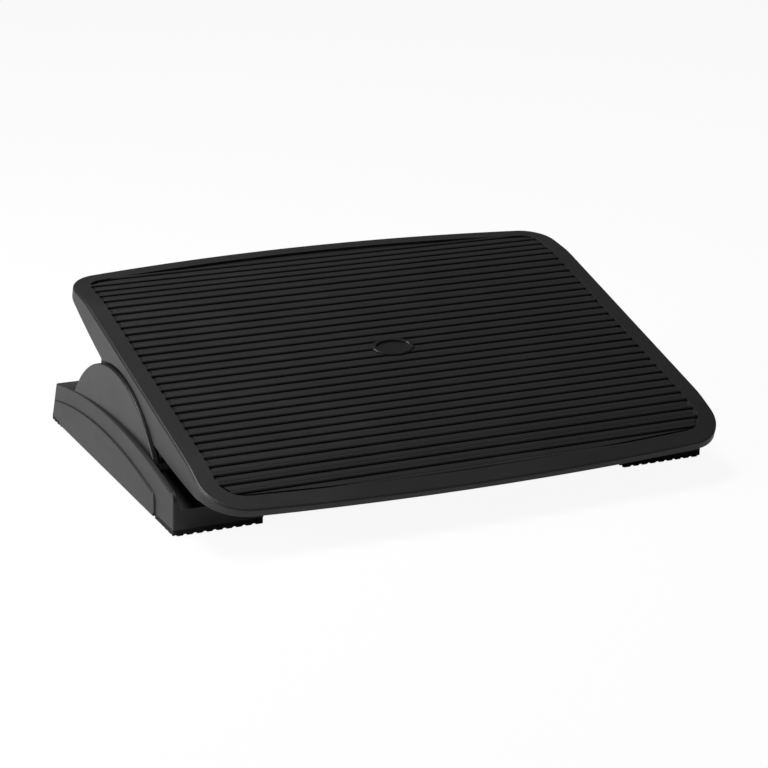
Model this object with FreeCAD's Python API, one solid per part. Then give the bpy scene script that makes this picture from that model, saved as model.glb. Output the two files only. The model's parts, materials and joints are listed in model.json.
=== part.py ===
import FreeCAD, Part
import math
import os

from FreeCAD import Vector

# Tilting under desk footrest, in millimetres, +Z up, the user's side towards -Y.
# The platform rides on two curved saddles and turns about an axis parallel to X
# that lies below the floor. The pieces of the base are drawn about that axis at
# Y = 0. The pieces of the platform are drawn level, with the axis at the origin,
# and are then turned to the tilt shown.

# Tilt
axis_height = -23.0
tilt_at_rest = 16.6
tilt_limit = 17.6
running_gap = 0.3

# Platform outline and top surface
platform_width = 450.0
platform_front = 176.8
platform_rear = 180.6
front_bow_radius = 2700.0
rear_bow_radius = 1480.0
front_corner_radius = 36.0
rear_corner_radius = 28.0
platform_setback = 9.2
axis_to_top = 122.3
bend_at = 115.4
bend_radius = 120.0
bend_angle = 8.4
rim_rounding = 1.8

# Skirt
skirt_wall = 2.8
skin = 3.0
skirt_depth = 27.7
skirt_edge_radius = 760.0
end_skirt_depth = 14.0

# Ribbed field
border = 15.0
rear_border = 12.0
field_recess = 1.5
rib_count = 32
rib_pitch = 10.22
first_rib = 157.6
rib_width = 2.8
rib_crown = 0.7
rib_below_border = 0.1
groove_width = 1.3
groove_depth = 0.9
pillow_rise = 0.45
pillow_gap = 0.4
pocket_length = 3.0

# Stiffening ribs under the platform
under_rib = 2.0
under_rib_step_x = 52.0
under_rib_step_y = 60.0
under_rib_end_gap = 4.0
under_rib_reach_y = 120.0

# Badge plate
badge_length = 36.0
badge_width = 24.0
badge_rim = 3.2
badge_pocket_depth = 3.0
badge_floor_depth = 1.3
badge_rise = 0.5
badge_y = 2.4
badge_gap = 0.3
badge_rounding = 0.7

# Saddle and cheek
saddle_below_top = 15.5
saddle_wall = 3.0
saddle_inset = 3.0
saddle_end_wall = 2.5
cheek_rise = 4.3
notch_rise = 2.4
cheek_inset = 1.4
cheek_thickness = 4.0
cheek_foot_height = 36.0
cheek_rim_end_rise = 2.0
cheek_rounding = 1.0
saddle_half_length = 88.3
saddle_boss_radius = 4.0
saddle_boss_y = 78.0
saddle_boss_inset = 6.0
saddle_boss_height = 22.0

# Pod housing
pod_width = 70.3
pod_overhang = 5.3
pod_toe = 1.3
pod_front = 147.3
pod_rear_foot = 152.7
pod_rear_top = 140.2
pod_wall = 2.8
lip_peak = 48.9
lip_peak_y = 2.1
lip_radius = 655.0
lip_width = 3.6
lip_front_rounding = 8.0
pod_rear_rounding = 5.0
pod_edge_rounding = 1.2
deck_drop = 10.8
shoulder_y = 100.0
housing_boss_radius = 4.0
housing_boss_y = 95.0
housing_boss_inset = 12.0
deck_margin = 1.0

# Raised lower panel on the pod's outer wall
panel_rise = 1.4
panel_peak = 33.6
panel_peak_y = 15.1
panel_radius = 559.0
panel_front = 107.8
panel_rear = 138.2
panel_rounding = 1.0
panel_corner_rounding = 8.0

# Base plate and rubber feet
casing_foot = 2.4
pad_thickness = 5.0
plate_thickness = 2.5
plate_gap = 0.2
front_foot_length = 41.0
rear_foot_length = 24.0
rear_foot_inset = 3.5
sole_pitch = 8.0
sole_groove_radius = 2.2
sole_groove_depth = 1.0
stem_radius = 3.0
stem_gap = 0.1
stem_head_radius = 4.2
stem_head_height = 1.8
stem_spread = 11.0
front_stem_y = -119.8
rear_stem_y = 137.2
foot_rounding = 1.2

# Self tapping screws of the base
base_screw_radius = 1.5
base_screw_length = 13.0
base_head_radius = 3.0
base_head_height = 1.7
screw_clearance = 0.25
thread_gap = 0.05

# Carriage, liner and keeper
carriage_inset = 5.0
carriage_outer_gap = 0.6
carriage_half_length = 68.0
bedding_gap = 0.1
liner_thickness = 3.0
liner_half_length = 66.0
keeper_thickness = 3.0
keeper_half_length = 34.0
keeper_half_width = 15.0
keeper_inset = 32.0
keeper_angle = 14.0
spot_depth = 0.5
spot_gap = 0.3

# Keeper screws, washers and inserts
keeper_screw_radius = 2.5
keeper_head_radius = 4.5
keeper_head_height = 3.3
washer_gap = 0.2
flat_washer_radius = 5.5
flat_washer_thickness = 1.0
spring_washer_radius = 4.4
spring_washer_thickness = 1.3
spring_split = 1.0
insert_radius = 3.5
insert_length = 5.4
insert_inset = 0.4
insert_groove_depth = 0.4
insert_groove_width = 1.0
insert_end_gap = 0.2

# Carriage screws and the platform's bosses
carriage_boss_radius = 4.0
carriage_boss_length = 4.9
carriage_boss_y = 56.0
carriage_boss_inset = 7.0
carriage_floor = 2.5
carriage_screw_radius = 2.0
carriage_screw_length = 8.8
carriage_head_radius = 3.5
carriage_head_height = 2.6
head_gap = 0.3

# Screw heads: rounding, and the recess's reach, depth and width, as shares of the head
head_rounding_share = 0.4
recess_reach_share = 0.6
recess_depth_share = 0.5
recess_width_share = 0.18

# Places that follow from the sizes above
half_width = platform_width / 2
saddle_radius = axis_to_top - saddle_below_top
cheek_radius = saddle_radius + cheek_rise
notch_radius = cheek_radius + notch_rise
pod_outer_x = half_width + pod_overhang
pod_inner_x = pod_outer_x - pod_width
saddle_inner_x = pod_inner_x + saddle_inset
cheek_inner_x = half_width - cheek_inset
carriage_inner_x = saddle_inner_x + carriage_inset
carriage_outer_x = half_width - skirt_wall - carriage_outer_gap
keeper_x = half_width - keeper_inset
under_rib_reach_x = pod_inner_x - under_rib_end_gap

# Two lengths or places closer than this are the same
tolerance = 0.01

# Space beyond a cut, so that no cutting face lies on a face of the piece
beyond = 20.0

X_DIR = Vector(1, 0, 0)
Y_DIR = Vector(0, 1, 0)
Z_DIR = Vector(0, 0, 1)
AXIS_POINT = Vector(0, 0, axis_height)
ORIGIN = Vector(0, 0, 0)


def block(x0, x1, y0, y1, z0, z1):
    return Part.makeBox(x1 - x0, y1 - y0, z1 - z0, Vector(x0, y0, z0))


def rod(radius, start, direction, length):
    return Part.makeCylinder(radius, length, start, direction)


def along_x(radius, x0, x1, centre):
    return rod(radius, centre + X_DIR * x0, X_DIR, x1 - x0)


def line(start, end):
    return Part.LineSegment(start, end).toShape()


def arc(start, middle, end):
    return Part.Arc(start, middle, end).toShape()


def polyline(points):
    return [line(a, b) for a, b in zip(points, points[1:])]


def prism(edges, travel):
    return Part.Face(Part.Wire(edges)).extrude(travel)


def mirrored(shape):
    return shape.mirror(ORIGIN, X_DIR)


def radial(angle):
    turn = math.radians(angle)
    return Vector(0, math.sin(turn), math.cos(turn))


def on_circle(radius, peak_y, peak, y):
    offset = y - peak_y
    return peak - radius + math.sqrt(radius * radius - offset * offset)


def rounded(shape, radius, wanted):
    edges = [edge for edge in shape.Edges if wanted(edge)]
    return shape.makeFillet(radius, edges)


def is_upright(edge):
    box = edge.BoundBox
    return box.XLength < tolerance and box.YLength < tolerance


# Driver recess: two crossed slots in the head of a screw.
def cross_recess(centre, direction, reach, depth):
    half = reach * recess_width_share
    across = X_DIR
    up = direction.cross(across)
    slots = []
    for long_dir, short_dir in ((across, up), (up, across)):
        corners = []
        for a, b in ((-1, -1), (1, -1), (1, 1), (-1, 1), (-1, -1)):
            corners.append(centre + long_dir * (a * reach) + short_dir * (b * half))
        slots.append(prism(polyline(corners), direction * depth))
    return slots[0].fuse(slots[1])


# A screw whose head lies against the seat and whose shank runs along direction.
def screw(seat, direction, shank_radius, shank_length, head_radius, head_height):
    top = seat - direction * head_height
    head = rod(head_radius, top, direction, head_height)
    rim = min(head_height, head_radius) * head_rounding_share
    head = rounded(head, rim, lambda edge: edge.isClosed() and near(edge.CenterOfMass, top))
    shank = rod(shank_radius, seat, direction, shank_length)
    recess = cross_recess(
        top, direction, head_radius * recess_reach_share, head_height * recess_depth_share)
    return head.fuse(shank).cut(recess)


def near(point, other):
    return point.distanceToPoint(other) < tolerance


# Plan outline of the platform as a tall solid, moved inwards by inset, and by
# rear_inset at its rear edge.
def outline_solid(inset, low, high, rear_inset=None):
    if rear_inset is None:
        rear_inset = inset
    half = platform_width / 2 - inset
    front_radius = front_bow_radius - inset
    rear_radius = rear_bow_radius - rear_inset
    front_peak = -(platform_front - inset)
    rear_peak = platform_rear - rear_inset
    front_corner = front_peak + front_radius - math.sqrt(front_radius ** 2 - half ** 2)
    rear_corner = rear_peak - rear_radius + math.sqrt(rear_radius ** 2 - half ** 2)
    a = Vector(-half, front_corner, low)
    b = Vector(half, front_corner, low)
    c = Vector(half, rear_corner, low)
    d = Vector(-half, rear_corner, low)
    edges = [
        arc(a, Vector(0, front_peak, low), b),
        line(b, c),
        arc(c, Vector(0, rear_peak, low), d),
        line(d, a),
    ]
    solid = prism(edges, Z_DIR * (high - low))
    solid = rounded(solid, front_corner_radius - inset, lambda e: is_upright(e) and e.CenterOfMass.y < 0)
    return rounded(solid, rear_corner_radius - inset, lambda e: is_upright(e) and e.CenterOfMass.y > 0)


# Height and slope of the platform's top surface at a distance from its middle.
def top_surface(y):
    turn = math.radians(bend_angle)
    bend_start = bend_at - bend_radius * math.tan(turn / 2)
    bend_end = bend_start + bend_radius * math.sin(turn)
    distance = abs(y)
    if distance <= bend_start:
        return 0.0, 0.0
    if distance <= bend_end:
        slope = math.asin((distance - bend_start) / bend_radius)
        height = -bend_radius * (1 - math.cos(slope))
    else:
        slope = turn
        height = -(distance - bend_at) * math.tan(turn)
    return height, -math.copysign(slope, y)


# The platform's upper surface, lowered by drop, from front to rear.
def top_edges(x, drop, reach):
    turn = math.radians(bend_angle)
    bend_start = bend_at - bend_radius * math.tan(turn / 2)
    bend_end = bend_start + bend_radius * math.sin(turn)
    bend_middle = bend_start + bend_radius * math.sin(turn / 2)
    stations = [-reach, -bend_end, -bend_middle, -bend_start, bend_start, bend_middle, bend_end, reach]
    p = [Vector(x, y, top_surface(y)[0] - drop) for y in stations]
    return [
        line(p[0], p[1]),
        arc(p[1], p[2], p[3]),
        line(p[3], p[4]),
        arc(p[4], p[5], p[6]),
        line(p[6], p[7]),
    ]


# Everything between the lowered top surface and a flat floor at low.
def under_surface(drop, low):
    reach = platform_rear + beyond
    x = -platform_width / 2 - beyond
    edges = top_edges(x, drop, reach)
    start = edges[0].Vertexes[0].Point
    end = edges[-1].Vertexes[-1].Point
    edges += polyline([end, Vector(x, reach, low), Vector(x, -reach, low), start])
    return prism(edges, X_DIR * (platform_width + 2 * beyond))


# Space below the skirt's lower edge: flat at the ends, bowed down in between.
def below_skirt():
    sag = skirt_depth - end_skirt_depth
    half = math.sqrt(2 * skirt_edge_radius * sag - sag * sag)
    reach = platform_rear + beyond
    x = -platform_width / 2 - beyond
    low = -skirt_depth - beyond
    a = Vector(x, -reach, -end_skirt_depth)
    b = Vector(x, -half, -end_skirt_depth)
    c = Vector(x, half, -end_skirt_depth)
    d = Vector(x, reach, -end_skirt_depth)
    edges = [line(a, b), arc(b, Vector(x, 0, -skirt_depth), c), line(c, d)]
    edges += polyline([d, Vector(x, reach, low), Vector(x, -reach, low), a])
    return prism(edges, X_DIR * (platform_width + 2 * beyond))


# One rib's section, seen along X, from its rear foot to the rear foot of the next.
# The channel in front of it holds a groove and, with pillow, a low rounded back.
def rib_edges(x, y, foot, pillow):
    height, slope = top_surface(y)
    forward = Vector(0, -math.cos(slope), -math.sin(slope))
    up = Vector(0, -math.sin(slope), math.cos(slope))
    crest = Vector(x, y, height)
    half = rib_width / 2
    shoulder = -rib_below_border - rib_crown
    groove = -field_recess - groove_depth
    pillow_start = half + groove_width
    pillow_end = rib_pitch - half - pillow_gap

    def at(along, level):
        return crest + forward * along + up * level

    rise = [at(-half, foot), at(-half, shoulder)]
    fall = [at(half, shoulder), at(half, groove)]
    crown = arc(rise[1], at(0, -rib_below_border), fall[0])
    edges = polyline(rise) + [crown] + polyline(fall)
    if not pillow:
        return edges + [line(fall[1], at(pillow_end, groove))]
    side = [fall[1], at(pillow_start, groove), at(pillow_start, -field_recess)]
    top = at((pillow_start + pillow_end) / 2, pillow_rise - field_recess)
    return edges + polyline(side) + [arc(side[2], top, at(pillow_end, -field_recess))]


# The air over the ribbed field, from its rear end to its front end.
def field_air(pillow):
    x = -platform_width / 2
    reach = platform_rear + beyond
    floor = -field_recess - groove_depth
    foot = -field_recess if pillow else floor
    start = Vector(x, reach, top_surface(reach)[0] + floor)
    end = Vector(x, -reach, top_surface(reach)[0] + floor)
    edges = []
    last = start
    for index in range(rib_count):
        behind = floor if index == 0 else foot
        section = rib_edges(x, first_rib - index * rib_pitch, behind, pillow)
        edges.append(line(last, section[0].Vertexes[0].Point))
        edges += section
        last = section[-1].Vertexes[-1].Point
    edges += polyline([last, end, Vector(x, -reach, beyond), Vector(x, reach, beyond), start])
    return prism(edges, X_DIR * platform_width)


# Cutting these away leaves the field, its ribs, and the pillows between them, which
# stop short of the border in a pocket at each end.
def field_cuts():
    low = -beyond
    high = beyond + 1
    field = outline_solid(border, low, high, rear_border)
    inner = outline_solid(border + pocket_length, low, high, rear_border + pocket_length)
    return [field_air(True).common(inner), field_air(False).common(field.cut(inner))]


def ellipse_solid(length, width, low, height):
    curve = Part.Ellipse(Vector(0, 0, low), length / 2, width / 2)
    return prism([curve.toShape()], Z_DIR * height)


# Grid of stiffening ribs under the skin, between the two pods.
def under_ribs():
    low = -end_skirt_depth
    bars = []
    steps_x = int(round(under_rib_reach_x / under_rib_step_x))
    steps_y = int(round(under_rib_reach_y / under_rib_step_y))
    half = under_rib / 2
    for index in range(-steps_x, steps_x + 1):
        x = index * under_rib_step_x
        bars.append(block(x - half, x + half, -platform_front, platform_rear, low, 0))
    for index in range(-steps_y, steps_y + 1):
        y = index * under_rib_step_y
        edge = steps_x * under_rib_step_x
        bars.append(block(-edge, edge, y - half, y + half, low, 0))
    grid = bars[0].fuse(bars[1:])
    inside = outline_solid(skirt_wall / 2, low - 1, 1)
    return grid.common(inside).common(under_surface(field_recess + skin / 2, low - 2))


def carriage_boss_places():
    places = []
    for x in (carriage_inner_x + carriage_boss_inset, carriage_outer_x - carriage_boss_inset):
        for y in (-carriage_boss_y, carriage_boss_y):
            places.append((x, y))
    return places


under_skin = axis_to_top - field_recess - skin
boss_foot = under_skin - carriage_boss_length
carriage_seat = boss_foot - carriage_floor


def platform_tray():
    low = -skirt_depth - beyond / 2
    envelope = outline_solid(0, low, beyond).common(under_surface(0, low - 1)).cut(below_skirt())
    rim_low = -end_skirt_depth + rim_rounding
    bend_reach = bend_at + bend_radius * math.sin(math.radians(bend_angle))

    def on_rim(edge):
        box = edge.BoundBox
        across = box.YLength < tolerance and box.XLength > platform_width / 2
        seam = across and abs(edge.CenterOfMass.y) < bend_reach
        return box.ZMin > rim_low and not seam

    envelope = rounded(envelope, rim_rounding, on_rim)
    hollow = outline_solid(skirt_wall, low - 2, beyond).common(under_surface(field_recess + skin, low - 3))
    tray = envelope.cut(hollow).fuse(under_ribs())
    tray = tray.cut(field_cuts())
    pocket = ellipse_solid(
        badge_length + 2 * badge_gap, badge_width + 2 * badge_gap, -badge_pocket_depth, beyond)
    pocket.translate(Y_DIR * badge_y)
    tray = tray.cut(pocket)
    tray.translate(Vector(0, -platform_setback, axis_to_top))
    notch_x = platform_width / 2 - 2 * skirt_wall
    notch = along_x(notch_radius, notch_x, platform_width / 2 + beyond, ORIGIN)
    bosses = []
    pilots = []
    pilot_radius = carriage_screw_radius + thread_gap
    pilot_depth = carriage_screw_length - carriage_floor + head_gap
    for x, y in carriage_boss_places():
        boss = rod(carriage_boss_radius, Vector(x, y, boss_foot), Z_DIR, carriage_boss_length + skin / 2)
        pilot = rod(pilot_radius, Vector(x, y, boss_foot), Z_DIR, pilot_depth)
        bosses += [boss, mirrored(boss)]
        pilots += [pilot, mirrored(pilot)]
    tray = tray.fuse(bosses)
    return tray.cut([notch, mirrored(notch)] + pilots)


def badge_plate():
    height = badge_pocket_depth + badge_rise
    plate = ellipse_solid(badge_length, badge_width, -badge_pocket_depth, height)
    inner_length = badge_length - 2 * badge_rim
    inner_width = badge_width - 2 * badge_rim
    plate = plate.cut(ellipse_solid(inner_length, inner_width, -badge_floor_depth, beyond))

    def top_loop(edge):
        return edge.isClosed() and abs(edge.BoundBox.ZMin - badge_rise) < tolerance

    plate = rounded(plate, badge_rounding, top_loop)
    plate.translate(Vector(0, badge_y - platform_setback, axis_to_top))
    return plate


liner_inner = saddle_radius + running_gap
liner_outer = liner_inner + liner_thickness
carriage_radius = liner_outer + bedding_gap
keeper_outer = saddle_radius - saddle_wall - running_gap
keeper_inner = keeper_outer - keeper_thickness
washer_outer = keeper_inner + spot_depth
washer_inner = washer_outer - flat_washer_thickness
keeper_head_seat = washer_inner - spring_washer_thickness
insert_start = carriage_radius + insert_inset
screw_hole_radius = keeper_screw_radius + screw_clearance
keeper_angles = (-keeper_angle, keeper_angle)


def radial_rod(radius, angle, start, length):
    place = Vector(keeper_x, 0, 0) + radial(angle) * start
    return rod(radius, place, radial(angle), length)


def carriage():
    body = block(
        carriage_inner_x, carriage_outer_x, -carriage_half_length, carriage_half_length,
        liner_inner - beyond, under_skin)
    cuts = [along_x(carriage_radius, carriage_inner_x - 1, carriage_outer_x + 1, ORIGIN)]
    for x, y in carriage_boss_places():
        cuts.append(rod(carriage_boss_radius + bedding_gap, Vector(x, y, boss_foot), Z_DIR, beyond))
        cuts.append(rod(carriage_screw_radius + screw_clearance, Vector(x, y, carriage_seat), Z_DIR, beyond))
        cuts.append(rod(carriage_head_radius + head_gap, Vector(x, y, carriage_seat - beyond), Z_DIR, beyond))
    insert_depth = insert_start + insert_length + insert_end_gap - carriage_radius
    for angle in keeper_angles:
        cuts.append(radial_rod(insert_radius + thread_gap, angle, carriage_radius - 1, insert_depth + 1))
    return body.cut(cuts)


def arc_plate(inner, outer, x0, x1, half_length):
    ring = along_x(outer, x0, x1, ORIGIN).cut(along_x(inner, x0 - 1, x1 + 1, ORIGIN))
    return ring.common(block(x0 - 1, x1 + 1, -half_length, half_length, 0, outer + 1))


def slide_liner():
    shoe = arc_plate(liner_inner, liner_outer, carriage_inner_x, carriage_outer_x, liner_half_length)
    holes = []
    for angle in keeper_angles:
        holes.append(radial_rod(screw_hole_radius, angle, liner_inner - 1, liner_thickness + 2))
    return shoe.cut(holes)


def keeper():
    plate = arc_plate(
        keeper_inner, keeper_outer, keeper_x - keeper_half_width, keeper_x + keeper_half_width,
        keeper_half_length)
    cuts = []
    for angle in keeper_angles:
        cuts.append(radial_rod(screw_hole_radius, angle, keeper_inner - 1, keeper_thickness + 2))
        cuts.append(radial_rod(flat_washer_radius + spot_gap, angle, washer_outer - beyond, beyond))
    return plate.cut(cuts)


def washer(angle, radius, start, thickness):
    disc = radial_rod(radius, angle, start, thickness)
    return disc.cut(radial_rod(keeper_screw_radius + washer_gap, angle, start - 1, thickness + 2))


def flat_washers():
    return [washer(a, flat_washer_radius, washer_inner, flat_washer_thickness) for a in keeper_angles]


def spring_washers():
    rings = []
    for angle in keeper_angles:
        ring = washer(angle, spring_washer_radius, keeper_head_seat, spring_washer_thickness)
        split = block(
            keeper_x, keeper_x + beyond, -spring_split / 2, spring_split / 2,
            keeper_head_seat - 1, washer_inner + 1)
        split.rotate(ORIGIN, X_DIR, -angle)
        rings.append(ring.cut(split))
    return rings


def keeper_screws():
    length = insert_start + insert_length - keeper_head_seat
    screws = []
    for angle in keeper_angles:
        seat = Vector(keeper_x, 0, 0) + radial(angle) * keeper_head_seat
        screws.append(screw(
            seat, radial(angle), keeper_screw_radius, length, keeper_head_radius, keeper_head_height))
    return screws


def threaded_inserts():
    inserts = []
    waist = insert_start + (insert_length - insert_groove_width) / 2
    for angle in keeper_angles:
        body = radial_rod(insert_radius, angle, insert_start, insert_length)
        bore = radial_rod(keeper_screw_radius + thread_gap, angle, insert_start - 1, insert_length + 2)
        band = radial_rod(insert_radius + 1, angle, waist, insert_groove_width)
        core = radial_rod(insert_radius - insert_groove_depth, angle, waist - 1, insert_groove_width + 2)
        inserts.append(body.cut(bore).cut(band.cut(core)))
    return inserts


def carriage_screws():
    screws = []
    for x, y in carriage_boss_places():
        seat = Vector(x, y, carriage_seat)
        screws.append(screw(
            seat, Z_DIR, carriage_screw_radius, carriage_screw_length,
            carriage_head_radius, carriage_head_height))
    return screws


# Where the pod's outer wall lies at a given Y, moved outwards by offset.
def outer_wall_x(y, offset):
    toe = math.radians(pod_toe)
    return pod_outer_x - y * math.tan(toe) + offset / math.cos(toe)


# A tall solid from x0 out to the toed outer wall.
def toed_solid(x0, offset, low, high):
    reach = pod_rear_foot + beyond
    corners = [
        Vector(x0, -reach, low),
        Vector(outer_wall_x(-reach, offset), -reach, low),
        Vector(outer_wall_x(reach, offset), reach, low),
        Vector(x0, reach, low),
        Vector(x0, -reach, low),
    ]
    return prism(polyline(corners), Z_DIR * (high - low))


def lip_height(y):
    return on_circle(lip_radius, lip_peak_y, lip_peak, y)


def deck_height(y):
    return on_circle(lip_radius - deck_drop, lip_peak_y, lip_peak - deck_drop, y)


# Rear end of the pod at a given height: it leans outwards towards the floor.
def rear_end(z):
    top = lip_height(pod_rear_top)
    share = (z - casing_foot) / (top - casing_foot)
    return pod_rear_foot + share * (pod_rear_top - pod_rear_foot)


# Side profile of the pod under one of its arcs, drawn in by wall.
def pod_side(height_at, wall, low):
    x = pod_inner_x - beyond
    front = -(pod_front - wall)
    slant = (pod_rear_foot - pod_rear_top) / (lip_height(pod_rear_top) - casing_foot)
    rear_low = rear_end(low) - wall
    rear_y = rear_low
    for _ in range(20):
        rear_y = rear_low - slant * (height_at(rear_y) - wall - low)
    a = Vector(x, front, height_at(front) - wall)
    b = Vector(x, (front + rear_y) / 2, height_at((front + rear_y) / 2) - wall)
    c = Vector(x, rear_y, height_at(rear_y) - wall)
    edges = [arc(a, b, c)]
    edges += polyline([c, Vector(x, rear_low, low), Vector(x, front, low), a])
    return prism(edges, X_DIR * (pod_outer_x - pod_inner_x + 3 * beyond))


def saddle_boss_places():
    places = []
    low_x = saddle_inner_x + saddle_boss_inset
    high_x = cheek_inner_x - saddle_boss_inset
    for x in (low_x, high_x):
        for y in (-saddle_boss_y, saddle_boss_y):
            places.append((x, y))
    return places


def housing_boss_places():
    places = []
    for y in (-housing_boss_y, housing_boss_y):
        for x in (pod_inner_x + housing_boss_inset, outer_wall_x(y, -housing_boss_inset)):
            places.append((x, y))
    return places


plate_top = pad_thickness + plate_thickness
base_pilot_depth = base_screw_length - plate_thickness + head_gap


front_foot_span = (-pod_front, -pod_front + front_foot_length)
rear_foot_span = (
    pod_rear_foot - rear_foot_inset - rear_foot_length,
    pod_rear_foot - rear_foot_inset)


def pod_housing():
    high = lip_peak + beyond
    body = pod_side(lip_height, 0, casing_foot).common(toed_solid(pod_inner_x, 0, casing_foot - 1, high))
    front_top = lip_height(-pod_front)
    body = rounded(
        body, lip_front_rounding,
        lambda e: e.BoundBox.YLength < tolerance and abs(e.CenterOfMass.z - front_top) < tolerance)
    rear_top = lip_height(pod_rear_top)

    def rear_edge(edge):
        middle = edge.CenterOfMass
        box = edge.BoundBox
        across = box.YLength < tolerance and abs(middle.z - rear_top) < 1
        corner = box.XMin > pod_inner_x + 1 and box.ZLength > rear_top / 2
        return middle.y > pod_rear_top - 1 and (across or corner)

    body = rounded(body, pod_rear_rounding, rear_edge)
    air = block(
        pod_inner_x - beyond, pod_outer_x + beyond, -pod_front - beyond, shoulder_y, 0, high)
    air = air.common(toed_solid(pod_inner_x - beyond, -lip_width, -1, high + 1))
    over_deck = air.cut(pod_side(deck_height, 0, casing_foot - beyond))
    body = body.cut(over_deck)

    def outer_edge(edge):
        box = edge.BoundBox
        outside = box.XMax > outer_wall_x(edge.CenterOfMass.y, -pod_edge_rounding / 2)
        narrow = box.XLength < 2 * lip_width
        upper = box.ZMin > casing_foot + 1 or is_upright(edge)
        return outside and narrow and upper and box.YLength + box.ZLength > 2

    body = rounded(body, pod_edge_rounding, outer_edge)
    body = body.fuse(outer_panel())
    hollow = pod_side(deck_height, pod_wall, casing_foot - 1)
    hollow = hollow.common(toed_solid(pod_inner_x + pod_wall, -pod_wall, casing_foot - 2, high))
    body = body.cut(hollow)
    bosses = []
    cuts = []
    for x, y in housing_boss_places():
        length = deck_height(y) - deck_margin - plate_top
        bosses.append(rod(housing_boss_radius, Vector(x, y, plate_top), Z_DIR, length))
        cuts.append(rod(base_screw_radius + thread_gap, Vector(x, y, plate_top), Z_DIR, base_pilot_depth))
    body = body.fuse(bosses)
    opening_half = saddle_half_length + running_gap
    cuts.append(block(
        saddle_inner_x - running_gap, cheek_inner_x + running_gap, -opening_half, opening_half,
        plate_top, high))
    slot = along_x(
        cheek_radius + running_gap, cheek_inner_x - running_gap,
        cheek_inner_x + cheek_thickness + running_gap, AXIS_POINT)
    slot_floor = cheek_foot_height - running_gap
    slot_low = block(
        cheek_inner_x - 1, cheek_inner_x + cheek_thickness + 1, -cheek_radius - 1, cheek_radius + 1,
        axis_height - cheek_radius - 1, slot_floor)
    cuts.append(slot.cut(slot_low))
    for y0, y1 in (front_foot_span, rear_foot_span):
        cuts.append(block(pod_inner_x - beyond, pod_outer_x + beyond, y0, y1, -beyond, pad_thickness))
    return body.cut(cuts)


def outer_panel():
    x = pod_inner_x

    def edge_height(y):
        return on_circle(panel_radius, panel_peak_y, panel_peak, y)

    front = -panel_front
    rear = panel_rear
    a = Vector(x, front, edge_height(front))
    b = Vector(x, panel_peak_y, panel_peak)
    c = Vector(x, rear, edge_height(rear))
    foot_rear = rear_end(casing_foot) - (rear_end(c.z) - rear)
    edges = [arc(a, b, c)]
    edges += polyline([c, Vector(x, foot_rear, casing_foot), Vector(x, front, casing_foot), a])
    plate = prism(edges, X_DIR * (pod_outer_x - pod_inner_x + beyond))

    def front_corner(edge):
        middle = edge.CenterOfMass
        return abs(middle.y - a.y) < tolerance and abs(middle.z - a.z) < tolerance

    plate = rounded(plate, panel_corner_rounding, front_corner)
    plate = plate.common(toed_solid(pod_inner_x, panel_rise, casing_foot - 1, lip_peak))
    plate = plate.cut(toed_solid(pod_inner_x - 1, -pod_wall / 2, casing_foot - 2, lip_peak + 1))

    def soft_edge(edge):
        point = edge.CenterOfMass
        on_face = point.x > outer_wall_x(point.y, panel_rise - panel_rounding / 2)
        return on_face and point.z > casing_foot + panel_rounding / 2

    return rounded(plate, panel_rounding, soft_edge)


# The cheek's plate: a fan with its outer rim rounded over. Its ends and its middle
# lie below the pod's lip.
def cheek_fan():
    outer_x = cheek_inner_x + cheek_thickness
    middle_radius = cheek_foot_height - axis_height - cheek_thickness
    rim_end = cheek_foot_height + cheek_rim_end_rise
    half_angle = math.degrees(math.acos((rim_end - axis_height) / cheek_radius))
    turn = math.sqrt(0.5) * cheek_rounding

    def at(x, radius):
        return AXIS_POINT + X_DIR * x + radial(half_angle) * radius

    bend_start = at(outer_x - cheek_rounding, cheek_radius)
    bend_middle = at(outer_x - cheek_rounding + turn, cheek_radius - cheek_rounding + turn)
    bend_end = at(outer_x, cheek_radius - cheek_rounding)
    edges = polyline([
        at(outer_x, middle_radius), at(cheek_inner_x, middle_radius),
        at(cheek_inner_x, cheek_radius), bend_start])
    edges += [arc(bend_start, bend_middle, bend_end), line(bend_end, at(outer_x, middle_radius))]
    return Part.Face(Part.Wire(edges)).revolve(AXIS_POINT, X_DIR, 2 * half_angle)


def saddle():
    low = plate_top
    body = block(
        saddle_inner_x, cheek_inner_x, -saddle_half_length, saddle_half_length,
        low, saddle_radius)
    body = body.common(along_x(saddle_radius, saddle_inner_x - 1, cheek_inner_x + 1, AXIS_POINT))
    cheek = cheek_fan()
    cheek = cheek.cut(block(
        cheek_inner_x - 1, cheek_inner_x + cheek_thickness + 1, -cheek_radius - 1, cheek_radius + 1,
        axis_height - cheek_radius - 1, cheek_foot_height))
    inner_half = saddle_half_length - saddle_wall
    hollow = block(
        saddle_inner_x + saddle_end_wall, cheek_inner_x - saddle_end_wall, -inner_half, inner_half,
        low - 1, saddle_radius)
    hollow = hollow.common(along_x(saddle_radius - saddle_wall, saddle_inner_x, cheek_inner_x, AXIS_POINT))
    bosses = []
    cuts = [keeper_slot()]
    for x, y in saddle_boss_places():
        bosses.append(rod(saddle_boss_radius, Vector(x, y, low), Z_DIR, saddle_boss_height))
        cuts.append(rod(base_screw_radius + thread_gap, Vector(x, y, low), Z_DIR, base_pilot_depth))
    body = body.cut(hollow).fuse([cheek] + bosses)
    return body.cut(cuts)


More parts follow.
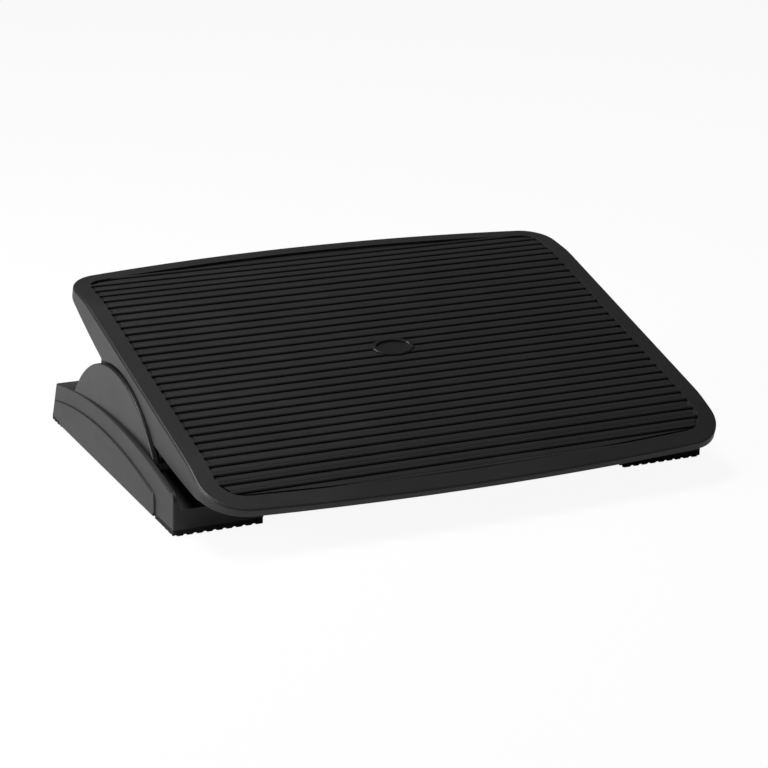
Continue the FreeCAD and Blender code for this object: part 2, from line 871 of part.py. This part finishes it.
# The slot in the saddle's wall that the keeper screws travel in. Its ends stop the tilt.
def keeper_slot():
    slot_half = keeper_screw_radius + running_gap
    inner = saddle_radius - saddle_wall
    half_angle = keeper_angle + tilt_limit + math.degrees(math.asin(slot_half / inner))
    reach = saddle_radius + beyond
    x = keeper_x - slot_half
    fan = [
        ORIGIN, radial(-half_angle) * reach, Z_DIR * reach, radial(half_angle) * reach, ORIGIN]
    slot = prism(polyline(fan), X_DIR * (2 * slot_half))
    slot.translate(X_DIR * x)
    core = along_x(inner - saddle_wall, x - 1, x + 2 * slot_half + 1, ORIGIN)
    slot = slot.cut(core)
    slot.translate(AXIS_POINT)
    return slot


def stem_places(y):
    middle = (pod_inner_x + outer_wall_x(y, 0)) / 2
    return [(middle - stem_spread, y), (middle + stem_spread, y)]


def base_plate():
    plate = pod_side(deck_height, pod_wall + plate_gap, pad_thickness)
    plate = plate.common(toed_solid(
        pod_inner_x + pod_wall + plate_gap, -pod_wall - plate_gap, pad_thickness - 1, plate_top))
    cuts = []
    for x, y in housing_boss_places() + saddle_boss_places():
        cuts.append(rod(base_screw_radius + screw_clearance, Vector(x, y, 0), Z_DIR, beyond))
    for x, y in stem_places(front_stem_y) + stem_places(rear_stem_y):
        cuts.append(rod(stem_radius + stem_gap, Vector(x, y, 0), Z_DIR, beyond))
    return plate.cut(cuts)


def rubber_foot(span, stem_y):
    y0, y1 = span
    pad = toed_solid(pod_inner_x, 0, 0, pad_thickness)
    pad = pad.common(block(pod_inner_x - 1, pod_outer_x + beyond, y0, y1, -1, pad_thickness + 1))
    pad = rounded(pad, foot_rounding, is_upright)
    grooves = []
    width = outer_wall_x(y0, 0) - pod_inner_x
    groove_z = sole_groove_depth - sole_groove_radius
    for index in range(1, int(width / sole_pitch) + 1):
        start = Vector(pod_inner_x + index * sole_pitch, y0 - 1, groove_z)
        grooves.append(rod(sole_groove_radius, start, Y_DIR, y1 - y0 + 2))
    for index in range(1, int((y1 - y0) / sole_pitch) + 1):
        start = Vector(pod_inner_x - 1, y0 + (index - 0.5) * sole_pitch, groove_z)
        grooves.append(rod(sole_groove_radius, start, X_DIR, width + beyond))
    pad = pad.cut(grooves)
    stems = []
    for x, y in stem_places(stem_y):
        stems.append(rod(stem_radius, Vector(x, y, pad_thickness - 1), Z_DIR, plate_thickness + 2))
        stems.append(rod(stem_head_radius, Vector(x, y, plate_top), Z_DIR, stem_head_height))
    return pad.fuse(stems)


def base_screws(places):
    screws = []
    for x, y in places:
        seat = Vector(x, y, pad_thickness)
        screws.append(screw(
            seat, Z_DIR, base_screw_radius, base_screw_length, base_head_radius, base_head_height))
    return screws


# Pieces of one side, drawn for +X. The first group tilts and the second stands.
platform_side = {
    "carriage": carriage(),
    "slide_liner": slide_liner(),
    "keeper": keeper(),
    "flat_washers": Part.makeCompound(flat_washers()),
    "spring_washers": Part.makeCompound(spring_washers()),
    "keeper_screws": Part.makeCompound(keeper_screws()),
    "threaded_inserts": Part.makeCompound(threaded_inserts()),
    "carriage_screws": Part.makeCompound(carriage_screws()),
}
base_side = {
    "pod_housing": pod_housing(),
    "saddle": saddle(),
    "base_plate": base_plate(),
    "front_foot": rubber_foot(front_foot_span, front_stem_y),
    "rear_foot": rubber_foot(rear_foot_span, rear_stem_y),
    "housing_screws": Part.makeCompound(base_screws(housing_boss_places())),
    "saddle_screws": Part.makeCompound(base_screws(saddle_boss_places())),
}


# Turn a piece of the platform to the tilt shown and set it at the tilt axis.
def tilted(shape):
    turned = shape.copy()
    turned.rotate(ORIGIN, X_DIR, tilt_at_rest)
    turned.translate(AXIS_POINT)
    return turned


nodes = {
    "platform_tray": tilted(platform_tray()),
    "badge_plate": tilted(badge_plate()),
}
for name, shape in platform_side.items():
    nodes["right_" + name] = tilted(shape)
    nodes["left_" + name] = tilted(mirrored(shape))
for name, shape in base_side.items():
    nodes["right_" + name] = shape
    nodes["left_" + name] = mirrored(shape)

# The row's origin is the middle of the underside of the box round everything.
whole = Part.makeCompound(list(nodes.values())).optimalBoundingBox(False)
shift = Vector(-(whole.XMin + whole.XMax) / 2, -(whole.YMin + whole.YMax) / 2, -whole.ZMin)

os.makedirs("parts", exist_ok=True)
for name, shape in nodes.items():
    placed = shape.copy()
    placed.translate(shift)
    if not placed.isValid():
        print("not valid:", name)
    placed.exportStep("parts/" + name + ".step")
    print(name, "solids", len(placed.Solids), "volume", round(placed.Volume, 1))

print("box", round(whole.XLength, 2), round(whole.YLength, 2), round(whole.ZLength, 2))
print("tilt axis at y", round(shift.y, 3), "z", round(axis_height + shift.z, 3))
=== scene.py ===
# %% [markdown]
# # A tilting under desk footrest
# The CAD model of the footrest comes in as a fixed frame: every node is already at its
# real size and place, in metres, with +Z up and the user's side towards -Y. This file
# adds what a photographer sees: the camera, the light, the surfaces and their finishes.

# %% Load the frame
import bmesh
import bpy
import json
import math
from mathutils import Matrix, Vector

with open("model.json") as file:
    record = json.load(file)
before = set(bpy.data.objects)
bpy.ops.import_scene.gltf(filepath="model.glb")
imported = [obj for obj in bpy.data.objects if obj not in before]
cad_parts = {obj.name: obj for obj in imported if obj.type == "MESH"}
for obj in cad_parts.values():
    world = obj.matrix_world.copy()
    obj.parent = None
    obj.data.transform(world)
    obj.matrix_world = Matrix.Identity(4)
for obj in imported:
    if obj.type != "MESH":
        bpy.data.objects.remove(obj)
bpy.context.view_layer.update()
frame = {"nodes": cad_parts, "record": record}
nodes = frame["nodes"]

# %% [markdown]
# ## The camera
# A camera can be placed by eye, or solved from edges whose real places are known. The
# platform's corners, its even ribs and the pods' feet gave the second: a long lens some
# two metres away, to the left of the middle, a little above and very slightly rolled.

# %% Place the camera
focal_pixels = 2510.55
image_pixels = 768
azimuth = math.radians(-26.432)
elevation = math.radians(17.954)
roll = math.radians(1.226)
aim = Vector((0.07609, 0.15519, 0.0))
distance = 2.24548

right = Vector((math.cos(azimuth), math.sin(azimuth), 0))
back = Vector((
    math.sin(azimuth) * math.cos(elevation),
    -math.cos(azimuth) * math.cos(elevation),
    math.sin(elevation)))
up = back.cross(right)
turned_right = math.cos(roll) * right + math.sin(roll) * up
turned_up = math.cos(roll) * up - math.sin(roll) * right

lens = bpy.data.cameras.new("camera")
lens.sensor_width = 36
lens.lens = lens.sensor_width * focal_pixels / image_pixels
camera = bpy.data.objects.new("camera", lens)
bpy.context.scene.collection.objects.link(camera)
axes = Matrix((turned_right, turned_up, back)).transposed().to_4x4()
camera.matrix_world = Matrix.Translation(aim + distance * back) @ axes
bpy.context.scene.camera = camera
print("lens", round(lens.lens, 2), "at", [round(v, 4) for v in camera.matrix_world.translation])

# %% [markdown]
# ## A way to write shader maths
# Node trees are quick to draw by hand but slow to read in code. Wrapping a socket in a
# small class lets an expression such as `1 - mask * 0.3` add its own Math nodes, and one
# method adds any other node.

# %% Wrap a socket
class Shade:
    def __init__(self, tree, socket=None):
        self.tree = tree
        self.socket = socket

    def node(self, kind, settings=None, out=0, **inputs):
        made = self.tree.nodes.new("ShaderNode" + kind)
        for key, value in (settings or {}).items():
            setattr(made, key, value)
        for key, value in inputs.items():
            index = int(key[1:]) if key[1:].isdigit() else key.replace("_", " ")
            if isinstance(value, Shade):
                self.tree.links.new(value.socket, made.inputs[index])
            elif value is not None:
                made.inputs[index].default_value = value
        return Shade(self.tree, made.outputs[out]) if made.outputs else None

    def maths(self, operation, a, b=None):
        return self.node("Math", {"operation": operation}, i0=a, i1=b)

    # Nought below low and one above high, with a straight climb between them.
    def step(self, low, high):
        return self.node("MapRange", Value=self, From_Min=low, From_Max=high)

    def __add__(self, other):
        return self.maths("ADD", self, other)

    def __sub__(self, other):
        return self.maths("SUBTRACT", self, other)

    def __rsub__(self, other):
        return self.maths("SUBTRACT", other, self)

    def __mul__(self, other):
        return self.maths("MULTIPLY", self, other)

    __radd__ = __add__
    __rmul__ = __mul__


def begin(owner):
    owner.use_nodes = True
    owner.node_tree.nodes.clear()
    return Shade(owner.node_tree)


def blend(fac, low, high):
    return fac.node("Mix", {"data_type": "RGBA"}, out=2, i0=fac, i6=low, i7=high)


# %% [markdown]
# ## The studio
# The footrest stands on a pale floor, as in a shop's photo. One soft light hangs nearly
# overhead, so each rib's rounded back catches it and the flat border doesn't, and a low
# one at the left lights the pod and the cheek.
# The floor is white for the camera, in a mirror and through glass, and still keeps a
# little of the footrest's shadow. The sky is white for the camera only, and dim for
# everything else.

# %% Make the world and the floor
def seen_directly(start):
    rays = [
        start.node("LightPath", out=name)
        for name in ("Is Camera Ray", "Is Glossy Ray", "Is Transmission Ray")]
    return rays[0].maths("MAXIMUM", rays[0], rays[1]).maths("MAXIMUM", rays[0], rays[2])


sky_light = 0.07
shadow_kept = 0.12

world = bpy.data.worlds.new("studio")
bpy.context.scene.world = world
start = begin(world)
lit = start.node("Background", Color=(1, 1, 1, 1), Strength=sky_light)
white = start.node("Background", Color=(1, 1, 1, 1), Strength=1)
start.node("OutputWorld", Surface=start.node(
    "MixShader", Fac=start.node("LightPath", out="Is Camera Ray"), i1=lit, i2=white))
bpy.context.scene.view_settings.view_transform = "Standard"

mesh = bpy.data.meshes.new("floor")
shape = bmesh.new()
bmesh.ops.create_grid(shape, x_segments=1, y_segments=1, size=30)
shape.to_mesh(mesh)
shape.free()
floor = bpy.data.objects.new("floor", mesh)
bpy.context.scene.collection.objects.link(floor)
paper = bpy.data.materials.new("pale_floor")
start = begin(paper)
matt = start.node("BsdfDiffuse", Color=(0.82, 0.82, 0.82, 1))
bright = start.node("Emission", Color=(1, 1, 1, 1), Strength=1.05)
start.node("OutputMaterial", Surface=start.node(
    "MixShader", Fac=seen_directly(start) * (1 - shadow_kept), i1=matt, i2=bright))
floor.data.materials.append(paper)
print("world", world.name, "floor", floor.name)

# %% Hang the lamps
def soft_light(name, place, aim_at, width, height, watts):
    lamp = bpy.data.lights.new(name, "AREA")
    lamp.shape = "RECTANGLE"
    lamp.size, lamp.size_y = width, height
    lamp.energy = watts
    holder = bpy.data.objects.new(name, lamp)
    bpy.context.scene.collection.objects.link(holder)
    direction = Vector(aim_at) - Vector(place)
    turn = direction.to_track_quat("-Z", "Y").to_matrix().to_4x4()
    holder.matrix_world = Matrix.Translation(place) @ turn


soft_light("overhead", (-0.5, 0.3, 1.8), (0, 0, 0.05), 0.9, 0.6, 20)
soft_light("left_side", (-2.0, 0.2, 0.6), (0, 0, 0.05), 1.4, 0.9, 25)

# %% [markdown]
# ## Moulded plastic
# The steel mould is etched, so black plastic comes out of it with a fine pebble grain
# that breaks its sheen into specks. Two sizes of cell give that grain through a bump.
# Hands and shoes polish the high edges a little and leave faint scuffs, and dust lies
# in the low places: the angle between a bevelled surface and the true one finds edges.

# %% Write the plastic finish
def grey(tone, warm=0.0):
    return (tone * (1 + warm), tone, tone * (1.04 - warm), 1)


def edges_of(start, radius):
    round_normal = start.node("Bevel", {"samples": 4}, Radius=radius)
    true_normal = start.node("NewGeometry", out="True Normal")
    near = start.node(
        "VectorMath", {"operation": "DOT_PRODUCT"}, out="Value", i0=round_normal, i1=true_normal)
    return (1 - near).step(0.01, 0.12)


def moulded(name, tone, gloss, grain, depth, wear=0.5, scuffs=0.0, specular=0.5):
    material = bpy.data.materials.new(name)
    start = begin(material)
    place = start.node("TexCoord", out="Object")
    pebble = start.node("TexVoronoi", {"feature": "SMOOTH_F1"}, Vector=place, Scale=1 / grain)
    fine = start.node("TexNoise", Vector=place, Scale=1.7 / grain, Detail=3.0, Roughness=0.6)
    slow = start.node("TexNoise", Vector=place, Scale=17.0, Detail=4.0, Roughness=0.55)
    stretched = start.node("VectorMath", {"operation": "MULTIPLY"}, i0=place, i1=(60, 900, 900))
    scratch = start.node("TexNoise", Vector=stretched, Scale=1.0, Detail=2.0).step(0.66, 0.74)
    patchy = slow.step(0.5, 0.68)
    scuffed = scratch * patchy * scuffs
    worn = edges_of(start, 0.0012) * slow.step(0.3, 0.7) * wear
    colour = blend(fine.step(0.3, 0.7), grey(tone * 0.72), grey(tone * 1.3))
    colour = blend(worn, colour, grey(tone * 2.6))
    colour = blend(scuffed, colour, grey(tone * 3.2, 0.02))
    rough = gloss + (slow - 0.5) * 0.16 + (fine - 0.5) * 0.14 - worn * 0.1 + scuffed * 0.1
    height = pebble + fine * 0.7
    bump = start.node("Bump", Height=height, Strength=1.0, Distance=depth)
    surface = start.node(
        "BsdfPrincipled", Base_Color=colour, Roughness=rough, Normal=bump, Specular_IOR_Level=specular)
    start.node("OutputMaterial", Surface=surface)
    return material


# %% [markdown]
# ## Metal
# The hidden screws, washers and keepers are zinc plated steel and the threaded inserts
# are turned brass. A fine brushing runs round each, and the plating has darker clouds.

# %% Write the metal finish
def metal(name, colour, dull, gloss):
    material = bpy.data.materials.new(name)
    start = begin(material)
    place = start.node("TexCoord", out="Object")
    cloud = start.node("TexNoise", Vector=place, Scale=140.0, Detail=4.0, Roughness=0.6)
    across = start.node("VectorMath", {"operation": "MULTIPLY"}, i0=place, i1=(500, 500, 9000))
    brushing = start.node("TexNoise", Vector=across, Scale=1.0, Detail=2.0)
    worn = edges_of(start, 0.0005)
    shade = blend(cloud.step(0.35, 0.75) - worn * 0.3, colour, dull)
    rough = gloss + (cloud - 0.5) * 0.2 + (brushing - 0.5) * 0.16
    bump = start.node("Bump", Height=brushing, Strength=0.5, Distance=0.00002)
    surface = start.node("BsdfPrincipled", Base_Color=shade, Metallic=1.0, Roughness=rough, Normal=bump)
    start.node("OutputMaterial", Surface=surface)
    return material


platform_black = moulded("platform_black", 0.024, 0.37, 0.0009, 0.00009, 0.8, 0.5)
pod_black = moulded("pod_black", 0.022, 0.44, 0.0009, 0.00007, 0.5, 0.2)
saddle_black = moulded("saddle_black", 0.022, 0.36, 0.0009, 0.00004, 0.5, 0.2)
badge_black = moulded("badge_black", 0.018, 0.32, 0.0006, 0.00002, 0.6, 0.3)
inner_black = moulded("inner_black", 0.018, 0.55, 0.0008, 0.00005, 0.2)
liner_black = moulded("liner_black", 0.045, 0.3, 0.0012, 0.00001, 0.2)
rubber = moulded("rubber", 0.014, 0.78, 0.0006, 0.00012, 0.2, 0.0, 0.3)
steel = metal("steel", (0.6, 0.6, 0.62, 1), (0.4, 0.4, 0.43, 1), 0.32)
blackened = metal("blackened", (0.045, 0.045, 0.048, 1), (0.02, 0.02, 0.022, 1), 0.4)
brass = metal("brass", (0.72, 0.54, 0.26, 1), (0.5, 0.36, 0.16, 1), 0.28)

# %% Give each node its finish
finishes = {
    "platform_plastic": platform_black,
    "badge_plastic": badge_black,
    "pod_plastic": pod_black,
    "saddle_plastic": saddle_black,
    "inner_plastic": inner_black,
    "liner_acetal": liner_black,
    "rubber": rubber,
    "steel": steel,
    "black_screw": blackened,
    "brass": brass,
}
for part in frame["record"]["subparts"]:
    node = nodes[part["node"]]
    node.data.materials.clear()
    node.data.materials.append(finishes[part["material_slot"]])
